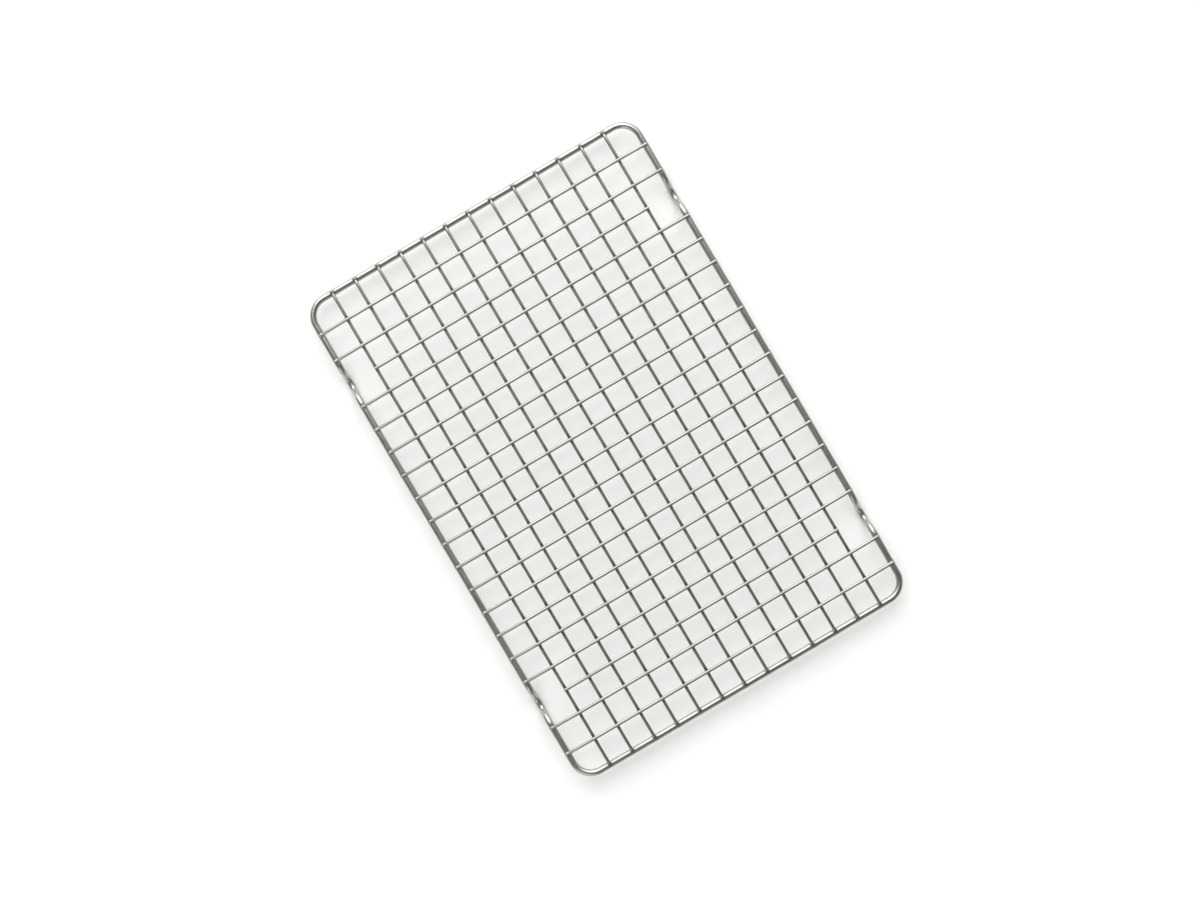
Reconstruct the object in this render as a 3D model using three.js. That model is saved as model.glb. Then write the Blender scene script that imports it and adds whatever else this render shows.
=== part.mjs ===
// Wire cooling rack for a quarter-size baking sheet.
//
// One thick wire is bent into a rounded rectangle, and its two long sides dip into four U-shaped feet.
// A grid of thin wires is welded on top of it: the lengthwise wires lie on its short sides, the cross
// wires lie over the lengthwise wires, and each full-width cross wire steps down at both ends onto the
// long sides. The cross wire over each pair of feet is short, because the long sides dip away there.
//
// Millimetres. +X runs along the rack, +Y across it and +Z up. The origin is on the surface that the
// feet stand on, under the middle of the rack.

import * as THREE from 'three';

// ---------------------------------------------------------------- driving dimensions

const RACK_LENGTH = 297;
const RACK_WIDTH = 205;
const RACK_HEIGHT = 14.5;

const FRAME_WIRE_DIAMETER = 3.7;
const GRID_WIRE_DIAMETER = 1.8;
const CORNER_RADIUS = 10.8;

const LENGTHWISE_COUNT = 13;
const LENGTHWISE_PITCH = 14;
const CROSS_COUNT = 19;
const CROSS_PITCH = 14.25;
const END_CROSS_PITCH = 16;

const FOOT_CROSS_WIRE = 2;
const FOOT_HALF_SPAN = 13;
const FOOT_BOTTOM_FLAT = 1;
const FOOT_BOTTOM_RADIUS = 6;
const FOOT_TOP_RADIUS = 8.3;

const END_STEP_ANGLE = THREE.MathUtils.degToRad(8);
const END_STEP_RADIUS = 8;
const GRID_END_SETBACK = 0.8;
const SHORT_WIRE_OVERHANG = 1;

// Wires that are welded together are left this far apart, so that every wire stays a solid of its own.
const WELD_GAP = 0.02;

const SECTION_SIDES = 12;
const BEND_STEP_ANGLE = THREE.MathUtils.degToRad(12);

const FRAME_COLOUR = 0xa3a29b;
const LENGTHWISE_COLOUR = 0x8f8e88;
const CROSS_COLOUR = 0xc9c8c1;

// ---------------------------------------------------------------- derived dimensions

const FRAME_RADIUS = FRAME_WIRE_DIAMETER / 2;
const GRID_RADIUS = GRID_WIRE_DIAMETER / 2;
const FRAME_HALF_LENGTH = RACK_LENGTH / 2 - FRAME_RADIUS;
const FRAME_HALF_WIDTH = RACK_WIDTH / 2 - FRAME_RADIUS;

const CROSS_Z = RACK_HEIGHT - GRID_RADIUS;
const LENGTHWISE_Z = CROSS_Z - GRID_WIRE_DIAMETER - WELD_GAP;
const FRAME_Z = LENGTHWISE_Z - GRID_RADIUS - WELD_GAP - FRAME_RADIUS;
const FOOT_DROP = FRAME_Z - FRAME_RADIUS;

const UP = new THREE.Vector3(0, 0, 1);
const ALONG = new THREE.Vector3(1, 0, 0);
const ACROSS = new THREE.Vector3(0, 1, 0);

// ---------------------------------------------------------------- bent wires

// The centre line of a wire as it leaves a wire bender: straight runs and circular bends, each starting
// where the one before it stopped. Its parameter steps evenly from one station to the next, so straight
// runs need no sections between their ends.
class BentWirePath extends THREE.Curve {
  constructor(start, heading) {
    super();
    this.position = start.clone();
    this.heading = heading.clone();
    this.stations = [];
    this.addStation();
  }

  addStation() {
    this.stations.push({ point: this.position.clone(), direction: this.heading.clone() });
  }

  run(length) {
    this.position.addScaledVector(this.heading, length);
    this.addStation();
    return this;
  }

  bend(axis, radius, angle) {
    const toCentre = axis.clone().cross(this.heading).multiplyScalar(radius * Math.sign(angle));
    const centre = this.position.clone().add(toCentre);
    const steps = Math.ceil(Math.abs(angle) / BEND_STEP_ANGLE);
    for (let step = 0; step < steps; step += 1) {
      this.position.sub(centre).applyAxisAngle(axis, angle / steps).add(centre);
      this.heading.applyAxisAngle(axis, angle / steps);
      this.addStation();
    }
    return this;
  }

  get sectionCount() {
    return this.stations.length - 1;
  }

  stationAt(u) {
    return this.stations[Math.round(u * this.sectionCount)];
  }

  getPointAt(u) {
    return this.stationAt(u).point.clone();
  }

  getTangentAt(u) {
    return this.stationAt(u).direction.clone();
  }
}

// A wire's cross-section: a regular polygon with flats on its top, bottom and sides, as wide across the
// flats as the wire is thick.
function wireSection(radius) {
  const halfTurn = Math.PI / SECTION_SIDES;
  const cornerRadius = radius / Math.cos(halfTurn);
  const corners = [];
  for (let side = 0; side < SECTION_SIDES; side += 1) {
    const angle = (2 * side + 1) * halfTurn;
    corners.push(new THREE.Vector2(Math.cos(angle), Math.sin(angle)).multiplyScalar(cornerRadius));
  }
  return new THREE.Shape(corners);
}

function wireGeometry(path, radius) {
  return new THREE.ExtrudeGeometry(wireSection(radius), {
    steps: path.sectionCount,
    extrudePath: path,
    bevelEnabled: false,
  });
}

function steel(colour, roughness) {
  return new THREE.MeshStandardMaterial({ color: colour, roughness, metalness: 1 });
}

function numbered(name, index) {
  return `${name}_${String(index + 1).padStart(2, '0')}`;
}

// ---------------------------------------------------------------- frame wire

// Each leg is the straight line that touches both the round bend at the top of a foot and the one at its
// bottom: its slope and length follow from the foot's span, depth and bend radii.
function footLeg() {
  const bothRadii = FOOT_TOP_RADIUS + FOOT_BOTTOM_RADIUS;
  const between = FOOT_HALF_SPAN - FOOT_BOTTOM_FLAT / 2;
  const rise = FOOT_DROP - bothRadii;
  const length = Math.sqrt(between ** 2 + rise ** 2 - bothRadii ** 2);
  const angle = Math.atan2(rise, between) + Math.atan2(bothRadii, length);
  return { length, angle };
}

// A U-shaped dip in a long side, from one top bend down to its flat bottom and up to the other top bend.
function addFoot(path) {
  const leg = footLeg();
  const down = UP.clone().cross(path.heading);
  path.bend(down, FOOT_TOP_RADIUS, leg.angle);
  path.run(leg.length);
  path.bend(down, FOOT_BOTTOM_RADIUS, -leg.angle);
  path.run(FOOT_BOTTOM_FLAT);
  path.bend(down, FOOT_BOTTOM_RADIUS, -leg.angle);
  path.run(leg.length);
  path.bend(down, FOOT_TOP_RADIUS, leg.angle);
}

function addLongSide(path) {
  const footX = Math.abs(crossWireX(FOOT_CROSS_WIRE));
  const cornerToFoot = FRAME_HALF_LENGTH - CORNER_RADIUS - footX - FOOT_HALF_SPAN;
  path.run(cornerToFoot);
  addFoot(path);
  path.run(2 * (footX - FOOT_HALF_SPAN));
  addFoot(path);
  path.run(cornerToFoot);
}

function addCorner(path) {
  path.bend(UP, CORNER_RADIUS, Math.PI / 2);
}

// The ring starts and ends at the butt weld in the middle of one short side.
function frameWire() {
  const halfShortSide = FRAME_HALF_WIDTH - CORNER_RADIUS;
  const start = new THREE.Vector3(FRAME_HALF_LENGTH, WELD_GAP / 2, FRAME_Z);
  const path = new BentWirePath(start, ACROSS);
  path.run(halfShortSide - WELD_GAP / 2);
  addCorner(path);
  addLongSide(path);
  addCorner(path);
  path.run(2 * halfShortSide);
  addCorner(path);
  addLongSide(path);
  addCorner(path);
  path.run(halfShortSide - WELD_GAP / 2);

  const mesh = new THREE.Mesh(wireGeometry(path, FRAME_RADIUS), steel(FRAME_COLOUR, 0.35));
  mesh.name = 'frame_wire';
  return mesh;
}

// ---------------------------------------------------------------- grid wires

function lengthwiseWireY(index) {
  return (index - (LENGTHWISE_COUNT - 1) / 2) * LENGTHWISE_PITCH;
}

// The cross wires are evenly spaced, except that the outermost ones stand a little further out.
function crossWireX(index) {
  const place = index - (CROSS_COUNT - 1) / 2;
  const isOutermost = index === 0 || index === CROSS_COUNT - 1;
  const extra = isOutermost ? Math.sign(place) * (END_CROSS_PITCH - CROSS_PITCH) : 0;
  return place * CROSS_PITCH + extra;
}

function lengthwiseWires() {
  const halfLength = RACK_LENGTH / 2 - GRID_END_SETBACK;
  const path = new BentWirePath(new THREE.Vector3(-halfLength, 0, 0), ALONG);
  path.run(2 * halfLength);
  const geometry = wireGeometry(path, GRID_RADIUS);

  const layer = new THREE.Group();
  for (let index = 0; index < LENGTHWISE_COUNT; index += 1) {
    const wire = new THREE.Mesh(geometry, steel(LENGTHWISE_COLOUR, 0.4));
    wire.name = numbered('lengthwise_wire', index);
    wire.position.set(0, lengthwiseWireY(index), LENGTHWISE_Z);
    layer.add(wire);
  }
  return layer;
}

// A level wire slopes down by an angle, or up where the angle is negative, and becomes level again.
function addSlope(path, angle, length) {
  const down = UP.clone().cross(path.heading);
  path.bend(down, END_STEP_RADIUS, angle);
  path.run(length);
  path.bend(down, END_STEP_RADIUS, -angle);
}

// A full-width cross wire lies on both long sides with its ends, and between them it is raised by a grid
// wire's thickness, to pass over the lengthwise wires.
function fullCrossGeometry() {
  const halfLength = RACK_WIDTH / 2 - GRID_END_SETBACK;
  const stepUp = GRID_WIRE_DIAMETER + WELD_GAP;
  const bendRise = END_STEP_RADIUS * (1 - Math.cos(END_STEP_ANGLE));
  const bendReach = END_STEP_RADIUS * Math.sin(END_STEP_ANGLE);
  const slopeLength = (stepUp - 2 * bendRise) / Math.sin(END_STEP_ANGLE);
  const slopeReach = slopeLength * Math.cos(END_STEP_ANGLE);

  const frameInnerEdge = FRAME_HALF_WIDTH - FRAME_RADIUS;
  const endLength = halfLength - frameInnerEdge;
  const raisedLength = 2 * (frameInnerEdge - 2 * bendReach - slopeReach);

  const path = new BentWirePath(new THREE.Vector3(0, -halfLength, -stepUp), ACROSS);
  path.run(endLength);
  addSlope(path, -END_STEP_ANGLE, slopeLength);
  path.run(raisedLength);
  addSlope(path, END_STEP_ANGLE, slopeLength);
  path.run(endLength);
  return wireGeometry(path, GRID_RADIUS);
}

// A short cross wire stops at the outermost lengthwise wires.
function shortCrossGeometry() {
  const halfLength = lengthwiseWireY(LENGTHWISE_COUNT - 1) + SHORT_WIRE_OVERHANG;
  const path = new BentWirePath(new THREE.Vector3(0, -halfLength, 0), ACROSS);
  path.run(2 * halfLength);
  return wireGeometry(path, GRID_RADIUS);
}

function crossWires() {
  const fullGeometry = fullCrossGeometry();
  const shortGeometry = shortCrossGeometry();
  const overFeet = [FOOT_CROSS_WIRE, CROSS_COUNT - 1 - FOOT_CROSS_WIRE];

  const layer = new THREE.Group();
  for (let index = 0; index < CROSS_COUNT; index += 1) {
    const geometry = overFeet.includes(index) ? shortGeometry : fullGeometry;
    const wire = new THREE.Mesh(geometry, steel(CROSS_COLOUR, 0.3));
    wire.name = numbered('cross_wire', index);
    wire.position.set(crossWireX(index), 0, CROSS_Z);
    layer.add(wire);
  }
  return layer;
}

// ---------------------------------------------------------------- assembly

const coolingRack = new THREE.Group();
coolingRack.add(frameWire());
coolingRack.add(lengthwiseWires());
coolingRack.add(crossWires());

export default coolingRack;
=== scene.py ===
# The looks of a wire cooling rack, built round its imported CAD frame.
#
# Every wire is lofted along the same centre line as its CAD solid, with what the solid leaves out: the
# round section, the pinched ends, the marks that spot welding leaves, and the beads at the crossings.
#
# Metres. +X runs along the rack, +Y across it and +Z up, and the rack stands on z = 0.

import math
import random

import bpy
from mathutils import Matrix, Vector, noise


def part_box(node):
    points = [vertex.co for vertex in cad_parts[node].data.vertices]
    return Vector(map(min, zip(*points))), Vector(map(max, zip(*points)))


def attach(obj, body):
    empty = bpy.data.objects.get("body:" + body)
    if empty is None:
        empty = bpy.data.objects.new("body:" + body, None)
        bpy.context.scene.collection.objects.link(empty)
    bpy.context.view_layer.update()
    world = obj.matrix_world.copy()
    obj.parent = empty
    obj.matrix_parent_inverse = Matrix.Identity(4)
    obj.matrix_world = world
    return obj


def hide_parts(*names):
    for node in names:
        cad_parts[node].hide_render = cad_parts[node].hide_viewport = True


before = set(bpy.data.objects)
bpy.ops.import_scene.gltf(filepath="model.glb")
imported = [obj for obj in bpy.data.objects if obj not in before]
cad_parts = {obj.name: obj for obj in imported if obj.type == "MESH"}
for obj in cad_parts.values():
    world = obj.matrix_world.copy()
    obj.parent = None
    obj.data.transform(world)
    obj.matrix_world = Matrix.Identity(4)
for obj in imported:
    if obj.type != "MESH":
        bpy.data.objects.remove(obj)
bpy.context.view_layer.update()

MM = 0.001
UP = Vector((0, 0, 1))
ALONG = Vector((1, 0, 0))
ACROSS = Vector((0, 1, 0))

# ---------------------------------------------------------------- sizes

# What the CAD wires are bent to, and their boxes don't show.
FRAME_RADIUS = 1.85 * MM
CORNER_RADIUS = 10.8 * MM
FOOT_HALF_SPAN = 13 * MM
FOOT_BOTTOM_FLAT = 1 * MM
FOOT_BOTTOM_RADIUS = 6 * MM
FOOT_TOP_RADIUS = 8.3 * MM
END_STEP_ANGLE = math.radians(8)
END_STEP_RADIUS = 8 * MM

LENGTHWISE = sorted(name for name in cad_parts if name.startswith("lengthwise_wire"))
CROSS = sorted(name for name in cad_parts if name.startswith("cross_wire"))

FRAME_LOW, FRAME_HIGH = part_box("frame_wire")
FRAME_HALF_LENGTH = FRAME_HIGH.x - FRAME_RADIUS
FRAME_HALF_WIDTH = FRAME_HIGH.y - FRAME_RADIUS
FRAME_Z = FRAME_HIGH.z - FRAME_RADIUS
FOOT_DROP = FRAME_Z - FRAME_RADIUS - FRAME_LOW.z


def box_centre(node):
    low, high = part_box(node)
    return (low + high) / 2


def box_size(node):
    low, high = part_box(node)
    return high - low


GRID_RADIUS = box_size(LENGTHWISE[0]).z / 2
LENGTHWISE_Z = box_centre(LENGTHWISE[0]).z
CROSS_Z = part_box(CROSS[0])[1].z - GRID_RADIUS
LENGTHWISE_Y = [box_centre(name).y for name in LENGTHWISE]
CROSS_X = [box_centre(name).x for name in CROSS]
LENGTHWISE_HALF_LENGTH = box_size(LENGTHWISE[0]).x / 2
FULL_HALF_LENGTH = box_size(CROSS[0]).y / 2
FULL_CROSS_X = [box_centre(name).x for name in CROSS if box_size(name).y / 2 > FRAME_HALF_WIDTH]
FOOT_X = max(x for x in CROSS_X if x not in FULL_CROSS_X)

# How far a wire wanders sideways from a straight line, and over what length. A seed from its name gives
# each wire its own stretch of noise.
WANDER = 0.16 * MM
WANDER_LENGTH = 90 * MM
SEED_SPACING = 5.7
SEED_COUNT = 97

# A grid wire's end is pinched flat and pressed into the frame wire. The pinch and the sinking start and are
# full at places measured outwards from the frame wire's centre line. Widths and heights are factors.
PINCHED_WIDTH = 1.14
PINCHED_HEIGHT = 0.84
PINCH_START = -2.4 * MM
PINCH_FULL = -0.8 * MM
PINCH_SINK = 0.2 * MM
SINK_START = -5.0 * MM
SINK_FULL = -0.4 * MM
TIP_DROOP = 0.1 * MM
TIP_LENGTH = 0.5 * MM
TIP_WIDTH = 0.72
CUT_BEVEL = 0.16 * MM
CUT_WIDTH = 0.86
CUT_HEIGHT = 0.7

# The marks of welding: a swelling and a flat crown at each crossing, a dent in the frame wire under each
# grid wire's end, a swelling where the frame wire's own ends meet, and heat that burns the steel nearby.
# The burn's dark colour is partly heat tint and partly painted shade round the joints. A lengthwise wire
# is burnt and shaded less at the frame than at its crossings.
MARK_LENGTH = 1.1 * MM
MARK_SWELL = 0.06
CROWN_FLAT = 0.05 * MM
FRAME_DENT = 0.14 * MM
BUTT_WELD_LENGTH = 1.1 * MM
BUTT_WELD_SWELL = 0.07
HEAT_AND_SHADE_LENGTH = 1.9 * MM
FRAME_JOINT_HEAT_AND_SHADE = 0.35

# A lumpy bead of weld metal lies round each joint. The variety spreads the beads' lumps through the noise,
# so that no two beads are alike.
BEAD_REACH = 1.12 * MM
BEAD_HEIGHT = 0.5 * MM
BEAD_SPREAD = (0.92, 1.05)
BEAD_STRAY = 0.06 * MM
BEAD_SIDES = 16
BEAD_RINGS = 8
LUMP_DEPTH = 0.14
LUMP_CLOSENESS = 1.7
LUMP_VARIETY = 50
FRAME_BEAD_ALONG = 1.3 * MM
FRAME_BEAD_ACROSS = 1.15 * MM
FRAME_BEAD_HEIGHT = 0.3 * MM
GRID_BEAD_SEED = 11
FRAME_BEAD_SEED = 12

# How finely the wires are lofted: sides round a wire, and steps along it, closer at joints and ends.
GRID_SIDES = 20
FRAME_SIDES = 32
COARSE_STEP = 3 * MM
FINE_STEP = 0.45 * MM
FINE_STEPS_EACH_WAY = 4
END_FINE_STEPS = 15
TIP_STEPS = (0.25, 0.5, 1.0)
CLOSEST_STEP = 0.2 * FINE_STEP
BEND_STEP = math.radians(5)


# ---------------------------------------------------------------- centre lines

class BentWire:
    """A wire's centre line: straight runs and circular bends, each starting where the last one stopped."""

    def __init__(self, start, heading):
        self.position = start.copy()
        self.heading = heading.copy()
        self.length = 0.0
        self.stretches = []
        self.stations = [0.0]

    def run(self, length):
        self.stretches.append((self.length, self.position.copy(), self.heading.copy(), None, 0.0))
        self.position += self.heading * length
        self.add_stations(length, math.ceil(length / COARSE_STEP))

    def bend(self, axis, radius, angle):
        centre = self.position + axis.cross(self.heading) * math.copysign(radius, angle)
        turn = axis * math.copysign(1 / radius, angle)
        self.stretches.append((self.length, self.position.copy(), self.heading.copy(), centre, turn))
        whole_turn = Matrix.Rotation(angle, 3, axis)
        self.position = centre + whole_turn @ (self.position - centre)
        self.heading = whole_turn @ self.heading
        self.add_stations(radius * abs(angle), math.ceil(abs(angle) / BEND_STEP))

    def add_stations(self, length, steps):
        for step in range(1, steps + 1):
            self.stations.append(self.length + length * step / steps)
        self.length += length

    def add_fine_stations(self, place):
        """Adds close stations round one place, for detail there."""
        for step in range(-FINE_STEPS_EACH_WAY, FINE_STEPS_EACH_WAY + 1):
            station = place + step * FINE_STEP
            if 0 < station < self.length:
                self.stations.append(station)

    def sorted_stations(self):
        kept = []
        for station in sorted(self.stations):
            if not kept or station - kept[-1] > CLOSEST_STEP:
                kept.append(station)
        kept[-1] = self.length
        return kept

    def at(self, place):
        """The point and the heading at a length along the wire."""
        found = self.stretches[0]
        for stretch in self.stretches:
            if stretch[0] <= place:
                found = stretch
        start_length, start, heading, centre, turn = found
        travelled = place - start_length
        if centre is None:
            return start + heading * travelled, heading
        rotation = Matrix.Rotation(turn.length * travelled, 3, turn.normalized())
        return centre + rotation @ (start - centre), rotation @ heading


def foot_leg():
    """The straight leg that joins a foot's top bend to its bottom bend: its length and its slope."""
    both_radii = FOOT_TOP_RADIUS + FOOT_BOTTOM_RADIUS
    between = FOOT_HALF_SPAN - FOOT_BOTTOM_FLAT / 2
    rise = FOOT_DROP - both_radii
    length = math.sqrt(between ** 2 + rise ** 2 - both_radii ** 2)
    return length, math.atan2(rise, between) + math.atan2(both_radii, length)


def add_foot(wire):
    leg, slope = foot_leg()
    down = UP.cross(wire.heading)
    wire.bend(down, FOOT_TOP_RADIUS, slope)
    wire.run(leg)
    wire.bend(down, FOOT_BOTTOM_RADIUS, -slope)
    wire.run(FOOT_BOTTOM_FLAT)
    wire.bend(down, FOOT_BOTTOM_RADIUS, -slope)
    wire.run(leg)
    wire.bend(down, FOOT_TOP_RADIUS, slope)


def add_long_side(wire):
    corner_to_foot = FRAME_HALF_LENGTH - CORNER_RADIUS - FOOT_X - FOOT_HALF_SPAN
    wire.run(corner_to_foot)
    add_foot(wire)
    wire.run(2 * (FOOT_X - FOOT_HALF_SPAN))
    add_foot(wire)
    wire.run(corner_to_foot)


def frame_line():
    half_short_side = FRAME_HALF_WIDTH - CORNER_RADIUS
    wire = BentWire(Vector((FRAME_HALF_LENGTH, 0, FRAME_Z)), ACROSS)
    wire.run(half_short_side)
    wire.bend(UP, CORNER_RADIUS, math.pi / 2)
    add_long_side(wire)
    wire.bend(UP, CORNER_RADIUS, math.pi / 2)
    wire.run(2 * half_short_side)
    wire.bend(UP, CORNER_RADIUS, math.pi / 2)
    add_long_side(wire)
    wire.bend(UP, CORNER_RADIUS, math.pi / 2)
    wire.run(half_short_side)
    return wire


def add_slope(wire, angle, length):
    down = UP.cross(wire.heading)
    wire.bend(down, END_STEP_RADIUS, angle)
    wire.run(length)
    wire.bend(down, END_STEP_RADIUS, -angle)


def full_cross_line(x):
    """Low over the frame's long sides, and raised by a grid wire's thickness between them."""
    step_up = CROSS_Z - (FRAME_Z + FRAME_RADIUS + GRID_RADIUS)
    bend_rise = END_STEP_RADIUS * (1 - math.cos(END_STEP_ANGLE))
    bend_reach = END_STEP_RADIUS * math.sin(END_STEP_ANGLE)
    slope_length = (step_up - 2 * bend_rise) / math.sin(END_STEP_ANGLE)
    slope_reach = slope_length * math.cos(END_STEP_ANGLE)
    frame_inner_edge = FRAME_HALF_WIDTH - FRAME_RADIUS
    end_length = FULL_HALF_LENGTH - frame_inner_edge

    wire = BentWire(Vector((x, -FULL_HALF_LENGTH, CROSS_Z - step_up)), ACROSS)
    wire.run(end_length)
    add_slope(wire, -END_STEP_ANGLE, slope_length)
    wire.run(2 * (frame_inner_edge - 2 * bend_reach - slope_reach))
    add_slope(wire, END_STEP_ANGLE, slope_length)
    wire.run(end_length)
    return wire


def straight_line(start, heading, length):
    wire = BentWire(start, heading)
    wire.run(length)
    return wire


# ---------------------------------------------------------------- wire surfaces

def mix(low, high, share):
    return low + (high - low) * share


def smooth_step(start, end, value):
    share = min(max((value - start) / (end - start), 0.0), 1.0)
    return share * share * (3 - 2 * share)


def bump_at(distance, length):
    return math.exp(-(distance / length) ** 2)


def wander(place, seed, ring_length):
    """How far a wire strays sideways at a length along it. A closed wire comes back to where it began."""
    if ring_length:
        turn = 2 * math.pi * place / ring_length
        reach = ring_length / (2 * math.pi * WANDER_LENGTH)
        spot = Vector((reach * math.cos(turn), reach * math.sin(turn), seed))
    else:
        spot = Vector((place / WANDER_LENGTH, seed * SEED_SPACING, 0))
    return WANDER * noise.noise(spot)


class Section:
    """A wire's cross-section at one place: its half-width, its heights above and below, and its shift."""

    def __init__(self, radius):
        self.half_width = radius
        self.above = radius
        self.below = radius
        self.sideways = 0.0
        self.lift = 0.0

    def scale(self, width, height):
        self.half_width *= width
        self.above *= height
        self.below *= height

    def at(self, angle):
        height = self.above if angle < math.pi else self.below
        return self.sideways + self.half_width * math.cos(angle), self.lift + height * math.sin(angle)


def sweep(name, wire, radius, sides, section_at, heat_and_shade_at, closed=False):
    """Lofts a wire. Its vertices also carry where they lay on the straight wire it was bent from, so that
    the draw lines can follow it, and how hot the welds made them, which also sets the painted shade
    round the joints."""
    stations = wire.sorted_stations()
    if closed:
        stations.pop()
    angles = [2 * math.pi * side / sides for side in range(sides)]
    seed = sum(ord(letter) * (place + 1) for place, letter in enumerate(name)) % SEED_COUNT

    points, drawn, heat_and_shade = [], [], []
    for place in stations:
        centre, heading = wire.at(place)
        right = heading.cross(UP).normalized()
        rise = right.cross(heading)
        section = section_at(place)
        section.sideways += wander(place, seed, wire.length if closed else None)
        for angle in angles:
            out, height = section.at(angle)
            points.append(centre + right * out + rise * height)
            drawn += (place + seed, radius * math.cos(angle), radius * math.sin(angle))
            heat_and_shade.append(heat_and_shade_at(place))

    rings = len(stations)
    faces = []
    for ring in range(rings if closed else rings - 1):
        following = (ring + 1) % rings
        for side in range(sides):
            beside = (side + 1) % sides
            faces.append((ring * sides + side, following * sides + side,
                          following * sides + beside, ring * sides + beside))
    if not closed:
        faces.append(tuple(range(sides)))
        faces.append(tuple(reversed(range((rings - 1) * sides, rings * sides))))
    return new_piece(name, points, faces, drawn, heat_and_shade)


def new_piece(name, points, faces, drawn, heat_and_shade):
    mesh = bpy.data.meshes.new(name)
    mesh.from_pydata([tuple(point) for point in points], [], faces)
    mesh.shade_smooth()
    mesh.attributes.new("drawn", "FLOAT_VECTOR", "POINT").data.foreach_set("vector", drawn)
    mesh.attributes.new("weld_heat_and_shade", "FLOAT", "POINT").data.foreach_set("value", heat_and_shade)
    mesh.update()
    piece = bpy.data.objects.new(name, mesh)
    bpy.context.scene.collection.objects.link(piece)
    return piece


def nearest(place, joints):
    """How far the nearest joint is from a place along a wire."""
    return min(abs(place - joint) for joint in joints)


def weld_heat_and_shade(distance):
    """How hot a weld made the wire at a distance from it, from 0 to 1, which also sets how much painted
    shade darkens the wire there.
    """
    return bump_at(distance, HEAT_AND_SHADE_LENGTH)


def pinch_end(section, beyond, level):
    """Flattens a grid wire's end and sinks it into the frame wire. beyond is how far out the place lies
    from the frame wire's centre line, and level is how high the grid wire's own centre line is above it."""
    pinch = smooth_step(PINCH_START, PINCH_FULL, beyond)
    section.scale(mix(1, PINCHED_WIDTH, pinch), mix(1, PINCHED_HEIGHT, pinch))
    resting = FRAME_RADIUS + section.below - PINCH_SINK
    section.lift += smooth_step(SINK_START, SINK_FULL, beyond) * (resting - level)
    section.lift -= TIP_DROOP * smooth_step(0, FRAME_RADIUS, beyond)


def round_tip(section, from_end):
    """Rounds a pinched end in plan, and takes the sharp edge off where it was cut."""
    nose = min(from_end / TIP_LENGTH, 1.0)
    section.half_width *= mix(TIP_WIDTH, 1.0, math.sqrt(nose * (2 - nose)))
    bevel = min(from_end / CUT_BEVEL, 1.0)
    section.scale(mix(CUT_WIDTH, 1.0, bevel), mix(CUT_HEIGHT, 1.0, bevel))


def mark_crossing(section, distance):
    """Widens a wire near a crossing, and returns how strong the mark is there, from 0 to 1."""
    mark = bump_at(distance, MARK_LENGTH)
    section.half_width *= 1 + MARK_SWELL * mark
    return mark


# ---------------------------------------------------------------- the wires

def make_lengthwise_wire(name):
    centre = box_centre(name)
    start = Vector((-LENGTHWISE_HALF_LENGTH, centre.y, centre.z))
    wire = straight_line(start, ALONG, 2 * LENGTHWISE_HALF_LENGTH)
    crossings = [x + LENGTHWISE_HALF_LENGTH for x in CROSS_X]
    frame_joints = [LENGTHWISE_HALF_LENGTH - FRAME_HALF_LENGTH, LENGTHWISE_HALF_LENGTH + FRAME_HALF_LENGTH]
    add_joint_stations(wire, crossings + frame_joints)

    def section_at(place):
        section = Section(GRID_RADIUS)
        for crossing in crossings:
            mark = mark_crossing(section, place - crossing)
            section.below -= CROWN_FLAT * mark
        from_middle = abs(place - LENGTHWISE_HALF_LENGTH)
        pinch_end(section, from_middle - FRAME_HALF_LENGTH, LENGTHWISE_Z - FRAME_Z)
        round_tip(section, LENGTHWISE_HALF_LENGTH - from_middle)
        return section

    # The heat round the joints also sets the painted shade there, less at the frame than at the crossings.
    def heat_and_shade_at(place):
        at_frame = FRAME_JOINT_HEAT_AND_SHADE * weld_heat_and_shade(nearest(place, frame_joints))
        return max(weld_heat_and_shade(nearest(place, crossings)), at_frame)

    return sweep(name + "_visual", wire, GRID_RADIUS, GRID_SIDES, section_at, heat_and_shade_at)


def make_cross_wire(name):
    centre = box_centre(name)
    half_length = box_size(name).y / 2
    reaches_frame = half_length > FRAME_HALF_WIDTH
    if reaches_frame:
        wire = full_cross_line(centre.x)
    else:
        wire = straight_line(Vector((centre.x, -half_length, CROSS_Z)), ACROSS, 2 * half_length)
    middle = wire.length / 2
    crossings = [middle + y for y in LENGTHWISE_Y]
    joints = list(crossings)
    if reaches_frame:
        end_length = half_length - FRAME_HALF_WIDTH
        joints += [end_length, wire.length - end_length]
    add_joint_stations(wire, joints)

    def section_at(place):
        section = Section(GRID_RADIUS)
        for crossing in crossings:
            mark = mark_crossing(section, place - crossing)
            section.above -= CROWN_FLAT * mark
        if reaches_frame:
            beyond = max(joints[-2] - place, place - joints[-1])
            pinch_end(section, beyond, FRAME_RADIUS + GRID_RADIUS)
        round_tip(section, min(place, wire.length - place))
        return section

    return sweep(name + "_visual", wire, GRID_RADIUS, GRID_SIDES, section_at,
                 lambda place: weld_heat_and_shade(nearest(place, joints)))


def add_joint_stations(wire, joints):
    """Adds close stations at a grid wire's joints and towards its ends."""
    for joint in joints:
        wire.add_fine_stations(joint)
    from_end = [share * depth for depth in (CUT_BEVEL, TIP_LENGTH) for share in TIP_STEPS]
    from_end += [step * FINE_STEP for step in range(1, END_FINE_STEPS + 1)]
    for distance in from_end:
        wire.stations += [distance, wire.length - distance]


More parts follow.
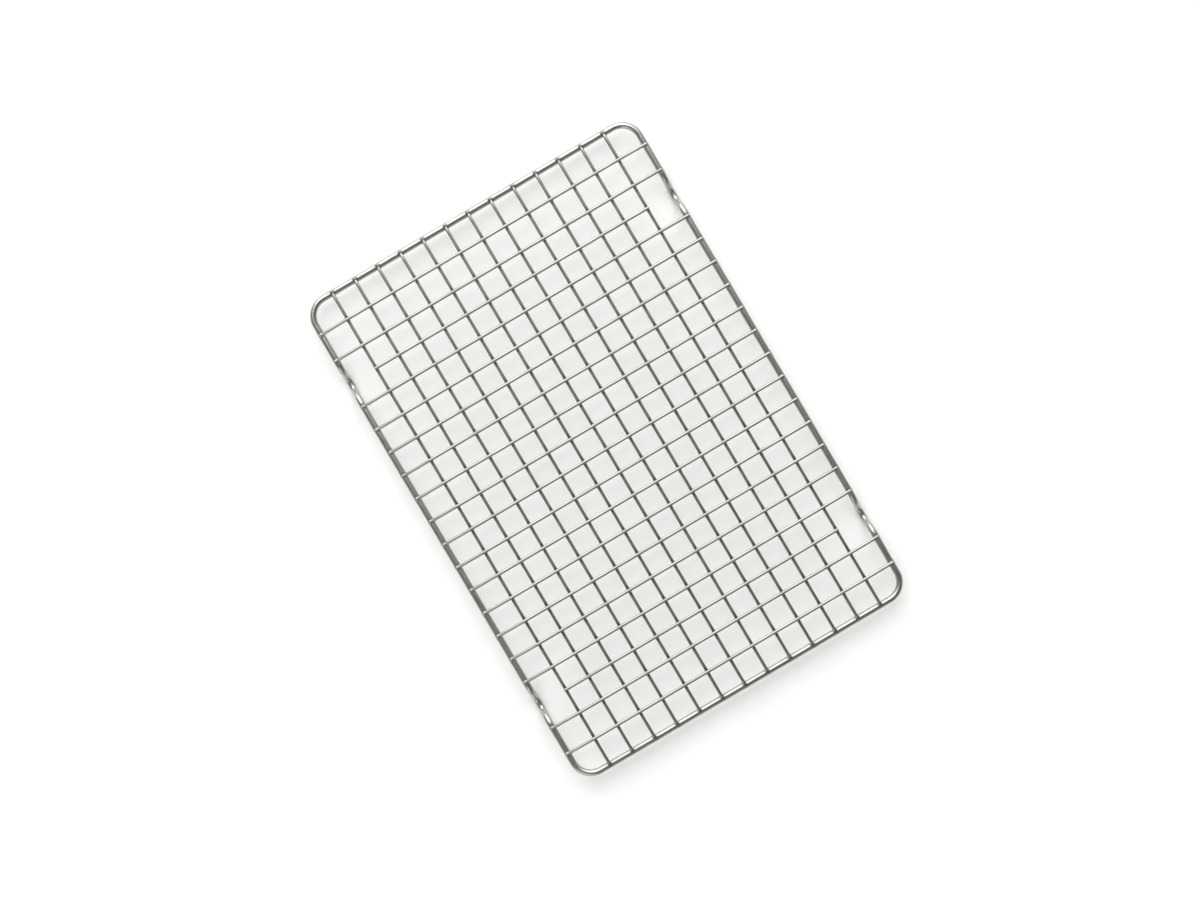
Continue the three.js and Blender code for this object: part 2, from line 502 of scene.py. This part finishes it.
def make_frame_wire():
    wire = frame_line()
    joints = frame_joint_places(wire)
    butt_weld = 0.0
    for joint in joints + [butt_weld, wire.length]:
        wire.add_fine_stations(joint)

    def section_at(place):
        section = Section(FRAME_RADIUS)
        for joint in joints:
            section.above -= FRAME_DENT * bump_at(ring_distance(place, joint, wire.length), MARK_LENGTH)
        from_butt_weld = ring_distance(place, butt_weld, wire.length)
        swell = 1 + BUTT_WELD_SWELL * bump_at(from_butt_weld, BUTT_WELD_LENGTH)
        section.scale(swell, swell)
        return section

    def heat_and_shade_at(place):
        return weld_heat_and_shade(min(ring_distance(place, joint, wire.length) for joint in joints + [butt_weld]))

    return sweep("frame_wire_visual", wire, FRAME_RADIUS, FRAME_SIDES, section_at, heat_and_shade_at, closed=True)


def frame_joint_places(wire):
    """Lengths along the frame wire where the grid wires' ends are welded to it."""
    leg, slope = foot_leg()
    foot_length = 2 * leg + FOOT_BOTTOM_FLAT + 2 * (FOOT_TOP_RADIUS + FOOT_BOTTOM_RADIUS) * slope
    longer_than_its_span = foot_length - 2 * FOOT_HALF_SPAN
    side_start = FRAME_HALF_WIDTH - CORNER_RADIUS + CORNER_RADIUS * math.pi / 2

    places = []
    for y in LENGTHWISE_Y:
        places += [y % wire.length, wire.length / 2 - y]
    for x in FULL_CROSS_X:
        from_corner = FRAME_HALF_LENGTH - CORNER_RADIUS - x
        feet_passed = (x < FOOT_X) + (x < -FOOT_X)
        place = side_start + from_corner + feet_passed * longer_than_its_span
        places += [place, wire.length - place]
    return places


def ring_distance(place, other, length):
    """How far apart two places on a closed wire are, the shorter way round."""
    return abs((place - other + length / 2) % length - length / 2)


# ---------------------------------------------------------------- weld beads

def add_bead(points, faces, joint, reach, height, frame_heading, chance):
    """Adds a lumpy pillow of weld metal round a joint. On the frame wire it drapes over the crown."""
    first = len(points)
    middle = joint + Vector((chance.uniform(-1, 1), chance.uniform(-1, 1), 0)) * BEAD_STRAY
    size = chance.uniform(*BEAD_SPREAD)
    lumps = Vector((chance.random(), chance.random(), chance.random())) * LUMP_VARIETY
    for ring in range(BEAD_RINGS + 1):
        latitude = math.pi * (ring / BEAD_RINGS - 0.5)
        for step in range(BEAD_SIDES):
            longitude = 2 * math.pi * step / BEAD_SIDES
            way = Vector((math.cos(latitude) * math.cos(longitude),
                          math.cos(latitude) * math.sin(longitude), math.sin(latitude)))
            lump = size * (1 + LUMP_DEPTH * noise.noise(way * LUMP_CLOSENESS + lumps))
            point = Vector((way.x * reach.x, way.y * reach.y, way.z * height)) * lump
            if frame_heading:
                off_crown = point.dot(UP.cross(frame_heading))
                point.z -= FRAME_RADIUS - math.sqrt(FRAME_RADIUS ** 2 - off_crown ** 2)
            points.append(middle + point)
    for ring in range(BEAD_RINGS):
        low = first + ring * BEAD_SIDES
        high = low + BEAD_SIDES
        for step in range(BEAD_SIDES):
            beside = (step + 1) % BEAD_SIDES
            faces.append((low + step, low + beside, high + beside, high + step))


def finish_beads(name, points, faces):
    """Makes one piece of beads. Their pattern follows their places, as they were never drawn."""
    drawn = [value for point in points for value in point]
    return new_piece(name, points, faces, drawn, [1.0] * len(points))


def make_grid_beads():
    chance = random.Random(GRID_BEAD_SEED)
    points, faces = [], []
    reach = Vector((BEAD_REACH, BEAD_REACH, 0))
    height = (LENGTHWISE_Z + CROSS_Z) / 2
    for x in CROSS_X:
        for y in LENGTHWISE_Y:
            add_bead(points, faces, Vector((x, y, height)), reach, BEAD_HEIGHT, None, chance)
    return finish_beads("grid_weld_beads", points, faces)


def make_frame_beads():
    chance = random.Random(FRAME_BEAD_SEED)
    points, faces = [], []
    height = FRAME_Z + FRAME_RADIUS
    for side in (-1, 1):
        for y in LENGTHWISE_Y:
            joint = Vector((side * FRAME_HALF_LENGTH, y, height))
            reach = Vector((FRAME_BEAD_ACROSS, FRAME_BEAD_ALONG, 0))
            add_bead(points, faces, joint, reach, FRAME_BEAD_HEIGHT, ACROSS, chance)
        for x in FULL_CROSS_X:
            joint = Vector((x, side * FRAME_HALF_WIDTH, height))
            reach = Vector((FRAME_BEAD_ALONG, FRAME_BEAD_ACROSS, 0))
            add_bead(points, faces, joint, reach, FRAME_BEAD_HEIGHT, ALONG, chance)
    return finish_beads("frame_weld_beads", points, faces)


# ---------------------------------------------------------------- materials

# A colour Mix node's sockets, by number because its other kinds' sockets have the same names.
MIX_SHARE = 0
MIX_FIRST = 6
MIX_SECOND = 7
MIX_RESULT = 2

BUMP_STRENGTH = 0.6

# How many times per metre each of the steel's patterns changes, along a wire and across it.
LINES_ALONG = 18.0
PATCHES_ALONG = 55.0
PATCHES_ACROSS = 300.0
SPECKS_PER_METRE = 1500.0

# How deep the steel's relief is, and how much its specks count in it beside the draw lines.
STEEL_RELIEF = 0.006 * MM
SPECK_SHARE = 0.4

# How far the draw lines dull the steel, and how much they and the patches change its roughness.
LINE_DULLING = 0.35
LINE_ROUGHNESS = (-0.05, 0.08)
PATCH_ROUGHNESS = (-0.04, 0.08)

# Welding leaves a wire rougher, but the dark film where it burnt is smooth, and it is patchy. Its
# near-black colour is partly heat tint and partly painted shade round the joints.
BURNT_AND_SHADED_STEEL = (0.04, 0.038, 0.034, 1.0)
LEAST_BURN_AND_SHADE = 0.6
WELD_ROUGHNESS = 0.12
BURNT_ROUGHNESS = -0.2

PEBBLES_PER_METRE = 2600.0
PEBBLE_RELIEF = 0.03 * MM
PEBBLE_ROUGHNESS = (0.4, 0.62)
WELD_PATCHES_PER_METRE = 700.0

FLOOR_GRAIN_PER_METRE = 40.0
FLOOR_ROUGHNESS = 0.7

# The range of a noise's values that a pattern is stretched over. A range that starts higher gives the
# pattern less of the surface.
MIDDLE_RANGE = (0.3, 0.7)
PATCH_RANGE = (0.35, 0.7)
LINE_RANGE = (0.3, 0.75)
LINE_ROUGHNESS_RANGE = (0.25, 0.75)


class Shader:
    """A short way to add nodes to a material or a world and join them."""

    def __init__(self, owner):
        self.owner = owner
        owner.use_nodes = True
        self.tree = owner.node_tree
        self.tree.nodes.clear()

    def add(self, kind, inputs=None, **settings):
        node = self.tree.nodes.new("ShaderNode" + kind)
        for setting, value in settings.items():
            setattr(node, setting, value)
        for socket, value in (inputs or {}).items():
            if isinstance(value, bpy.types.NodeSocket):
                self.tree.links.new(value, node.inputs[socket])
            else:
                node.inputs[socket].default_value = value
        return node

    def attribute(self, name, output):
        return self.add("Attribute", attribute_name=name).outputs[output]

    def noise(self, vector, along, across, detail, roughness=0.5):
        scale = (along, across, across)
        stretched = self.add("VectorMath", {0: vector, 1: scale}, operation="MULTIPLY")
        texture = self.add("TexNoise", {"Vector": stretched.outputs[0], "Scale": 1.0, "Detail": detail,
                                        "Roughness": roughness})
        return texture.outputs["Fac"]

    def remap(self, value, from_range, low, high):
        node = self.add("MapRange", {"Value": value, "From Min": from_range[0], "From Max": from_range[1],
                                     "To Min": low, "To Max": high})
        return node.outputs["Result"]

    def blend(self, share, first, second):
        node = self.add("Mix", {MIX_SHARE: share, MIX_FIRST: first, MIX_SECOND: second}, data_type="RGBA")
        return node.outputs[MIX_RESULT]

    def sum(self, first, second):
        return self.add("Math", {0: first, 1: second}, operation="ADD").outputs[0]

    def product(self, first, second):
        return self.add("Math", {0: first, 1: second}, operation="MULTIPLY").outputs[0]

    def metal(self, colour, roughness, height, relief):
        """Ends a material as bare metal, with fine relief from a pattern."""
        bump = self.add("Bump", {"Height": height, "Strength": BUMP_STRENGTH, "Distance": relief})
        surface = self.add("BsdfPrincipled", {"Base Color": colour, "Roughness": roughness,
                                              "Normal": bump.outputs["Normal"], "Metallic": 1.0})
        return self.end(surface)

    def end(self, surface):
        self.add("OutputMaterial", {"Surface": surface.outputs[0]})
        return self.owner


def drawn_steel(name, clean, dull, roughness, lines_per_metre, burn_and_shade):
    """Drawn stainless wire: fine lines along it, faint patches, and dark marks round the welds, partly heat
    tint and partly painted shade.
    """
    shader = Shader(bpy.data.materials.new(name))
    drawn = shader.attribute("drawn", "Vector")
    heat_and_shade = shader.attribute("weld_heat_and_shade", "Fac")

    lines = shader.noise(drawn, LINES_ALONG, lines_per_metre, detail=2.0)
    patches = shader.noise(drawn, PATCHES_ALONG, PATCHES_ACROSS, detail=4.0, roughness=0.6)
    specks = shader.noise(drawn, SPECKS_PER_METRE, SPECKS_PER_METRE, detail=2.0)

    metal = shader.blend(shader.remap(patches, PATCH_RANGE, 0.0, 1.0), clean, dull)
    metal = shader.blend(shader.remap(lines, LINE_RANGE, 0.0, LINE_DULLING), metal, dull)
    burnt_and_shaded = shader.product(heat_and_shade, shader.remap(patches, MIDDLE_RANGE, LEAST_BURN_AND_SHADE * burn_and_shade, burn_and_shade))
    # Darkens the wire round its welds: partly heat tint, partly painted shade where the wires cross.
    metal = shader.blend(burnt_and_shaded, metal, BURNT_AND_SHADED_STEEL)

    smoothest, roughest = (roughness + change for change in LINE_ROUGHNESS)
    rough = shader.remap(lines, LINE_ROUGHNESS_RANGE, smoothest, roughest)
    rough = shader.sum(rough, shader.remap(patches, MIDDLE_RANGE, *PATCH_ROUGHNESS))
    rough = shader.sum(rough, shader.product(heat_and_shade, WELD_ROUGHNESS))
    rough = shader.sum(rough, shader.product(burnt_and_shaded, BURNT_ROUGHNESS))

    height = shader.sum(lines, shader.product(specks, SPECK_SHARE))
    return shader.metal(metal, rough, height, STEEL_RELIEF)


def frame_steel():
    return drawn_steel("frame_steel", clean=(0.57, 0.567, 0.535, 1.0), dull=(0.46, 0.457, 0.43, 1.0),
                       roughness=0.29, lines_per_metre=3500.0, burn_and_shade=0.25)


# It is the same steel as the cross wires, with a darker base colour as painted shade for the dim room these
# wires mirror.
# Its burn is the strongest, as painted shade where the cross wires lie on it.
def lengthwise_steel():
    return drawn_steel("lengthwise_steel", clean=(0.50, 0.497, 0.468, 1.0), dull=(0.39, 0.387, 0.362, 1.0),
                       roughness=0.28, lines_per_metre=6000.0, burn_and_shade=1.0)


def cross_steel():
    return drawn_steel("cross_steel", clean=(0.56, 0.556, 0.527, 1.0), dull=(0.45, 0.447, 0.42, 1.0),
                       roughness=0.31, lines_per_metre=6000.0, burn_and_shade=0.2)


def weld_metal():
    """Weld metal: darker than the wire, with a pebbled surface."""
    shader = Shader(bpy.data.materials.new("weld_metal"))
    place = shader.attribute("drawn", "Vector")
    pebbles = shader.noise(place, PEBBLES_PER_METRE, PEBBLES_PER_METRE, detail=3.0)
    patches = shader.noise(place, WELD_PATCHES_PER_METRE, WELD_PATCHES_PER_METRE, detail=2.0)
    metal = shader.blend(patches, (0.24, 0.232, 0.21, 1.0), (0.12, 0.115, 0.1, 1.0))
    rough = shader.remap(pebbles, MIDDLE_RANGE, *PEBBLE_ROUGHNESS)
    return shader.metal(metal, rough, pebbles, PEBBLE_RELIEF)


def floor_paint():
    shader = Shader(bpy.data.materials.new("floor_paint"))
    place = shader.add("TexCoord").outputs["Object"]
    grain = shader.noise(place, FLOOR_GRAIN_PER_METRE, FLOOR_GRAIN_PER_METRE, detail=4.0)
    share = shader.remap(grain, MIDDLE_RANGE, 0.0, 1.0)
    paint = shader.blend(share, (0.90, 0.90, 0.895, 1.0), (0.93, 0.93, 0.925, 1.0))
    return shader.end(shader.add("BsdfPrincipled", {"Base Color": paint, "Roughness": FLOOR_ROUGHNESS}))


# ---------------------------------------------------------------- studio

FLOOR_REACH = 3.0


def make_floor():
    corners = [(x * FLOOR_REACH, y * FLOOR_REACH, 0) for x, y in ((-1, -1), (1, -1), (1, 1), (-1, 1))]
    mesh = bpy.data.meshes.new("floor")
    mesh.from_pydata(corners, [], [(0, 1, 2, 3)])
    floor = bpy.data.objects.new("floor", mesh)
    bpy.context.scene.collection.objects.link(floor)
    mesh.materials.append(floor_paint())


# The picture looks straight down, with the rack turned so that its +X end points to the lower right.
CAMERA_HEIGHT = 1.4
VIEW_WIDTH = 0.641
VIEW_TURN = math.radians(59.5)
SENSOR_WIDTH = 36.0
RACK_TO_THE_RIGHT = 3.5 * MM
RACK_UPWARDS = 0.5 * MM

IMAGE_RIGHT = Vector((math.cos(VIEW_TURN), math.sin(VIEW_TURN), 0))
IMAGE_UP = Vector((-math.sin(VIEW_TURN), math.cos(VIEW_TURN), 0))


def make_camera():
    data = bpy.data.cameras.new("camera")
    data.sensor_width = SENSOR_WIDTH
    data.lens = SENSOR_WIDTH * CAMERA_HEIGHT / VIEW_WIDTH
    camera = bpy.data.objects.new("camera", data)
    camera.location = UP * (CAMERA_HEIGHT + CROSS_Z)
    camera.location -= IMAGE_RIGHT * RACK_TO_THE_RIGHT + IMAGE_UP * RACK_UPWARDS
    camera.rotation_euler = (0, 0, VIEW_TURN)
    bpy.context.scene.collection.objects.link(camera)
    bpy.context.scene.camera = camera


def soft_box(name, place, width, height, power):
    data = bpy.data.lights.new(name, "AREA")
    data.shape = "RECTANGLE"
    data.size = width
    data.size_y = height
    data.energy = power
    data.color = LIGHT_TONE
    light = bpy.data.objects.new(name, data)
    light.location = place
    light.rotation_euler = (-place).to_track_quat("-Z", "Y").to_euler()
    bpy.context.scene.collection.objects.link(light)


# One large soft box stands beyond the rack's -X end, a little towards +Y.
KEY_AZIMUTH = math.radians(172)
KEY_OFF_VERTICAL = math.radians(48)
KEY_DISTANCE = 2.8
KEY_WIDTH = 3.0
KEY_HEIGHT = 3.7
KEY_POWER = 90.0

# Two smaller soft boxes stand at opposite corners, and light what the large one leaves dark.
FILL_AZIMUTHS = (math.radians(125), math.radians(-45))
FILL_OFF_VERTICAL = math.radians(55)
FILL_DISTANCE = 2.2
FILL_SIDE = 1.2
FILL_POWER = 6.5

LIGHT_TONE = (1.0, 1.0, 0.985)

# Plain white light on the floor, a pale backdrop, and the dim room that the metal mirrors.
AMBIENT_LIGHT = 0.58
BACKDROP = 0.92
MIRRORED_HORIZON = 0.35
MIRRORED_CEILING = 0.14
HORIZON_TOP = 0.1
CEILING_START = 0.5


def direction_at(azimuth, off_vertical):
    out = math.sin(off_vertical)
    return Vector((math.cos(azimuth) * out, math.sin(azimuth) * out, math.cos(off_vertical)))


def make_lights():
    key_place = direction_at(KEY_AZIMUTH, KEY_OFF_VERTICAL) * KEY_DISTANCE
    soft_box("key", key_place, KEY_WIDTH, KEY_HEIGHT, KEY_POWER)
    for azimuth in FILL_AZIMUTHS:
        fill_place = direction_at(azimuth, FILL_OFF_VERTICAL) * FILL_DISTANCE
        soft_box("fill", fill_place, FILL_SIDE, FILL_SIDE, FILL_POWER)
    make_room()
    bpy.context.scene.view_settings.view_transform = "Standard"


def grey(value):
    return (value, value, value, 1.0)


def make_room():
    """Reflections see a room that is dim overhead, the camera sees a pale backdrop, and the floor gets
    plain white light from all round."""
    world = bpy.data.worlds.new("room")
    bpy.context.scene.world = world
    shader = Shader(world)
    direction = shader.add("TexCoord").outputs["Generated"]
    height = shader.add("SeparateXYZ", {0: direction}).outputs["Z"]
    room = shader.add("ValToRGB", {"Fac": height})
    room.color_ramp.interpolation = "EASE"
    horizon, ceiling = room.color_ramp.elements
    horizon.position = HORIZON_TOP
    horizon.color = grey(MIRRORED_HORIZON)
    ceiling.position = CEILING_START
    ceiling.color = grey(MIRRORED_CEILING)

    ray = shader.add("LightPath").outputs
    unmirrored = shader.blend(ray["Is Camera Ray"], grey(AMBIENT_LIGHT), grey(BACKDROP))
    seen = shader.blend(ray["Is Glossy Ray"], unmirrored, room.outputs["Color"])
    background = shader.add("Background", {"Color": seen})
    shader.add("OutputWorld", {"Surface": background.outputs[0]})


# ---------------------------------------------------------------- assembly

def place_piece(piece, material, slot, *nodes):
    piece.data.materials.append(material)
    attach(piece, "root")
    if nodes:
        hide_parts(*nodes)


def build_rack():
    frame_metal = frame_steel()
    lengthwise_metal = lengthwise_steel()
    cross_metal = cross_steel()
    bead_metal = weld_metal()

    place_piece(make_frame_wire(), frame_metal, "frame_steel", "frame_wire")
    for name in LENGTHWISE:
        place_piece(make_lengthwise_wire(name), lengthwise_metal, "lengthwise_steel", name)
    for name in CROSS:
        place_piece(make_cross_wire(name), cross_metal, "cross_steel", name)
    place_piece(make_grid_beads(), bead_metal, "cross_steel")
    place_piece(make_frame_beads(), bead_metal, "frame_steel")


make_camera()
make_lights()
make_floor()
build_rack()
